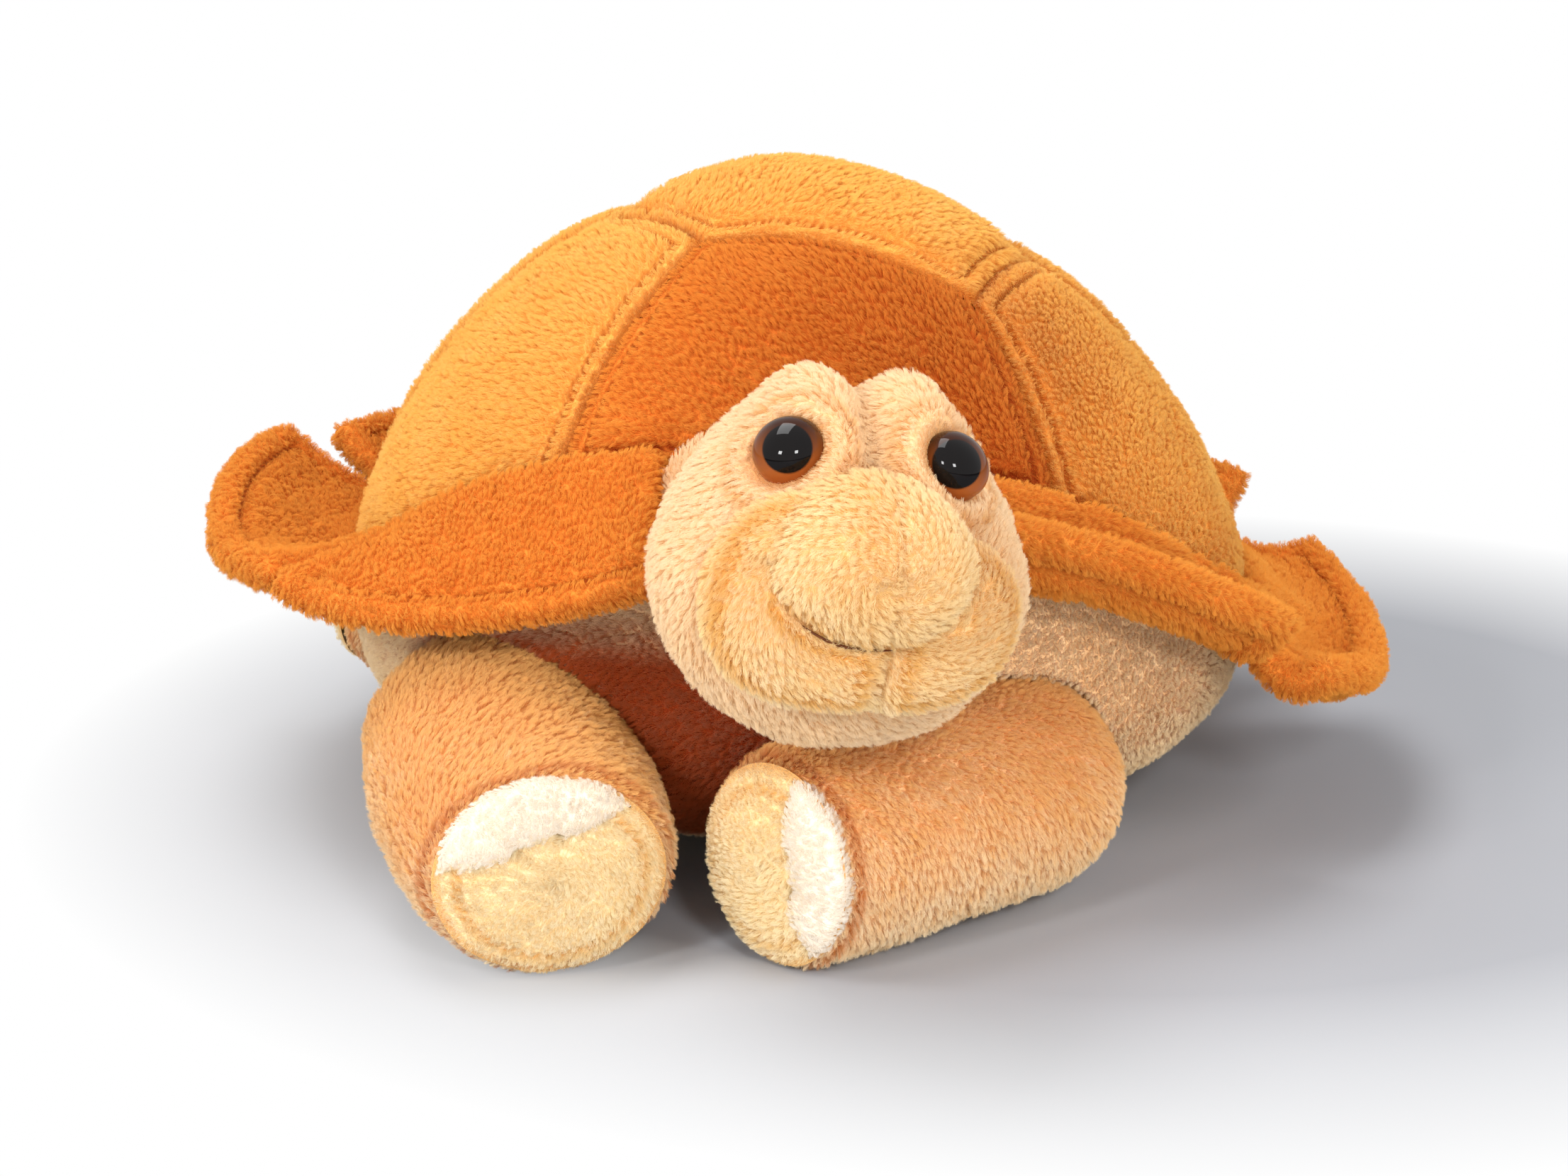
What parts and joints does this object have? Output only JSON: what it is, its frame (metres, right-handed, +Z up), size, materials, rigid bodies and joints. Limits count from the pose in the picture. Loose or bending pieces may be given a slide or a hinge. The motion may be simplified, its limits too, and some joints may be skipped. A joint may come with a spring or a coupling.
{
  "type": "plush turtle",
  "caption": "Plush turtle lying on its belly: padded shell of sewn panels, bendable rim flaps, turning head, tufted feet and glossy eyes",
  "frame": {"origin": "on the table, in the middle of the flat patch that the belly rests on", "axes": "+Z up, -Y the way the turtle faces, +X to the turtle's left"},
  "size_m": [0.3144, 0.3795, 0.1655],
  "materials": {
    "shell_plush": "short soft pile, bright orange",
    "front_plush": "short soft pile, burnt orange",
    "flap_plush": "short soft pile, darker orange, with a stitched edge",
    "skin_plush": "short soft pile, peach",
    "limb_plush": "short soft pile, darker peach",
    "face_plush": "short soft pile, warm cream yellow",
    "toe_plush": "short soft pile, near-white cream",
    "stuffing": "white polyester fill",
    "pellet_cloth": "plain woven cloth bag",
    "eye_gloss": "clear gloss over brown with a black pupil",
    "washer_plastic": "moulded, plain"
  },
  "bodies": {
    "torso": {"top_scute": "shell_plush", "front_scute": "front_plush", "front_left_scute": "shell_plush", "front_right_scute": "shell_plush", "rear_left_scute": "shell_plush", "rear_right_scute": "shell_plush", "rear_scute": "shell_plush", "belly_cover": "skin_plush", "body_stuffing": "stuffing", "pellet_bag": "pellet_cloth", "neck_cover": "skin_plush"},
    "neck": {"neck_stuffing": "stuffing"},
    "head": {"head_cover": "skin_plush", "head_stuffing": "stuffing", "snout": "face_plush", "jaw": "face_plush", "eye_left": "eye_gloss", "eye_left_washer": "washer_plastic", "eye_right": "eye_gloss", "eye_right_washer": "washer_plastic"},
    "front_right_leg": {"front_right_leg_cover": "limb_plush", "front_right_leg_stuffing": "stuffing", "front_right_toe_strip": "toe_plush", "front_right_sole_pad": "face_plush"},
    "front_left_leg": {"front_left_leg_cover": "limb_plush", "front_left_leg_stuffing": "stuffing", "front_left_toe_strip": "toe_plush", "front_left_sole_pad": "face_plush"},
    "hind_right_leg": {"hind_right_leg_cover": "limb_plush", "hind_right_leg_stuffing": "stuffing", "hind_right_toe_strip": "toe_plush", "hind_right_sole_pad": "face_plush"},
    "hind_left_leg": {"hind_left_leg_cover": "limb_plush", "hind_left_leg_stuffing": "stuffing", "hind_left_toe_strip": "toe_plush", "hind_left_sole_pad": "face_plush"},
    "front_right_flap": {"front_right_flap": "flap_plush"},
    "side_right_flap": {"side_right_flap": "flap_plush"},
    "rear_right_flap": {"rear_right_flap": "flap_plush"},
    "front_left_flap": {"front_left_flap": "flap_plush"},
    "side_left_flap": {"side_left_flap": "flap_plush"},
    "rear_left_flap": {"rear_left_flap": "flap_plush"},
    "tail": {"tail": "limb_plush"}
  },
  "joints": [
    {"name": "neck_turn", "type": "hinge", "parent": "torso", "child": "neck", "pos_m": [0.002, -0.127, 0.09], "axis": [0, 0, 1], "range_deg": [-25, 8], "stiffness_Nm_per_rad": 2},
    {"name": "head_nod", "type": "hinge", "parent": "neck", "child": "head", "pos_m": [0.002, -0.127, 0.09], "axis": [-1, 0, 0], "range_deg": [-6, 12], "stiffness_Nm_per_rad": 3},
    {"name": "front_right_leg_swing", "type": "hinge", "parent": "torso", "child": "front_right_leg", "pos_m": [-0.07649, -0.08348, 0.0348], "axis": [0, 0, 1], "range_deg": [-12, 1], "stiffness_Nm_per_rad": 1.5},
    {"name": "front_left_leg_swing", "type": "hinge", "parent": "torso", "child": "front_left_leg", "pos_m": [0.05045, -0.09898, 0.02801], "axis": [0, 0, 1], "range_deg": [-1, 12], "stiffness_Nm_per_rad": 1.5},
    {"name": "hind_right_leg_swing", "type": "hinge", "parent": "torso", "child": "hind_right_leg", "pos_m": [-0.08589, 0.04198, 0.02697], "axis": [0, 0, 1], "range_deg": [-8, 8], "stiffness_Nm_per_rad": 1.5},
    {"name": "hind_left_leg_swing", "type": "hinge", "parent": "torso", "child": "hind_left_leg", "pos_m": [0.07199, 0.06401, 0.025], "axis": [0, 0, 1], "range_deg": [-8, 8], "stiffness_Nm_per_rad": 1.5},
    {"name": "front_right_flap_bend", "type": "hinge", "parent": "torso", "child": "front_right_flap", "pos_m": [-0.06747, -0.07467, 0.09522], "axis": [-0.8099, 0.4751, -0.3441], "range_deg": [-2, 8], "stiffness_Nm_per_rad": 0.2},
    {"name": "side_right_flap_bend", "type": "hinge", "parent": "torso", "child": "side_right_flap", "pos_m": [-0.10436, -0.00089, 0.0719], "axis": [-0.032, 0.9887, -0.1463], "range_deg": [-2, 8], "stiffness_Nm_per_rad": 0.2},
    {"name": "rear_right_flap_bend", "type": "hinge", "parent": "torso", "child": "rear_right_flap", "pos_m": [-0.05266, 0.08571, 0.06212], "axis": [0.8478, 0.5293, -0.0326], "range_deg": [-2, 8], "stiffness_Nm_per_rad": 0.2},
    {"name": "front_left_flap_bend", "type": "hinge", "parent": "torso", "child": "front_left_flap", "pos_m": [0.06829, -0.07719, 0.08957], "axis": [-0.8088, -0.4472, 0.3819], "range_deg": [-2, 8], "stiffness_Nm_per_rad": 0.2},
    {"name": "side_left_flap_bend", "type": "hinge", "parent": "torso", "child": "side_left_flap", "pos_m": [0.10646, -0.00308, 0.06411], "axis": [-0.051, -0.9874, 0.15], "range_deg": [-1, 8], "stiffness_Nm_per_rad": 0.2},
    {"name": "rear_left_flap_bend", "type": "hinge", "parent": "torso", "child": "rear_left_flap", "pos_m": [0.05501, 0.08532, 0.058], "axis": [0.8466, -0.5312, -0.0323], "range_deg": [-2, 8], "stiffness_Nm_per_rad": 0.2},
    {"name": "tail_wag", "type": "hinge", "parent": "torso", "child": "tail", "pos_m": [0.00023, 0.11965, 0.02473], "axis": [0, 0, 1], "range_deg": [-15, 15], "stiffness_Nm_per_rad": 0.2}
  ]
}
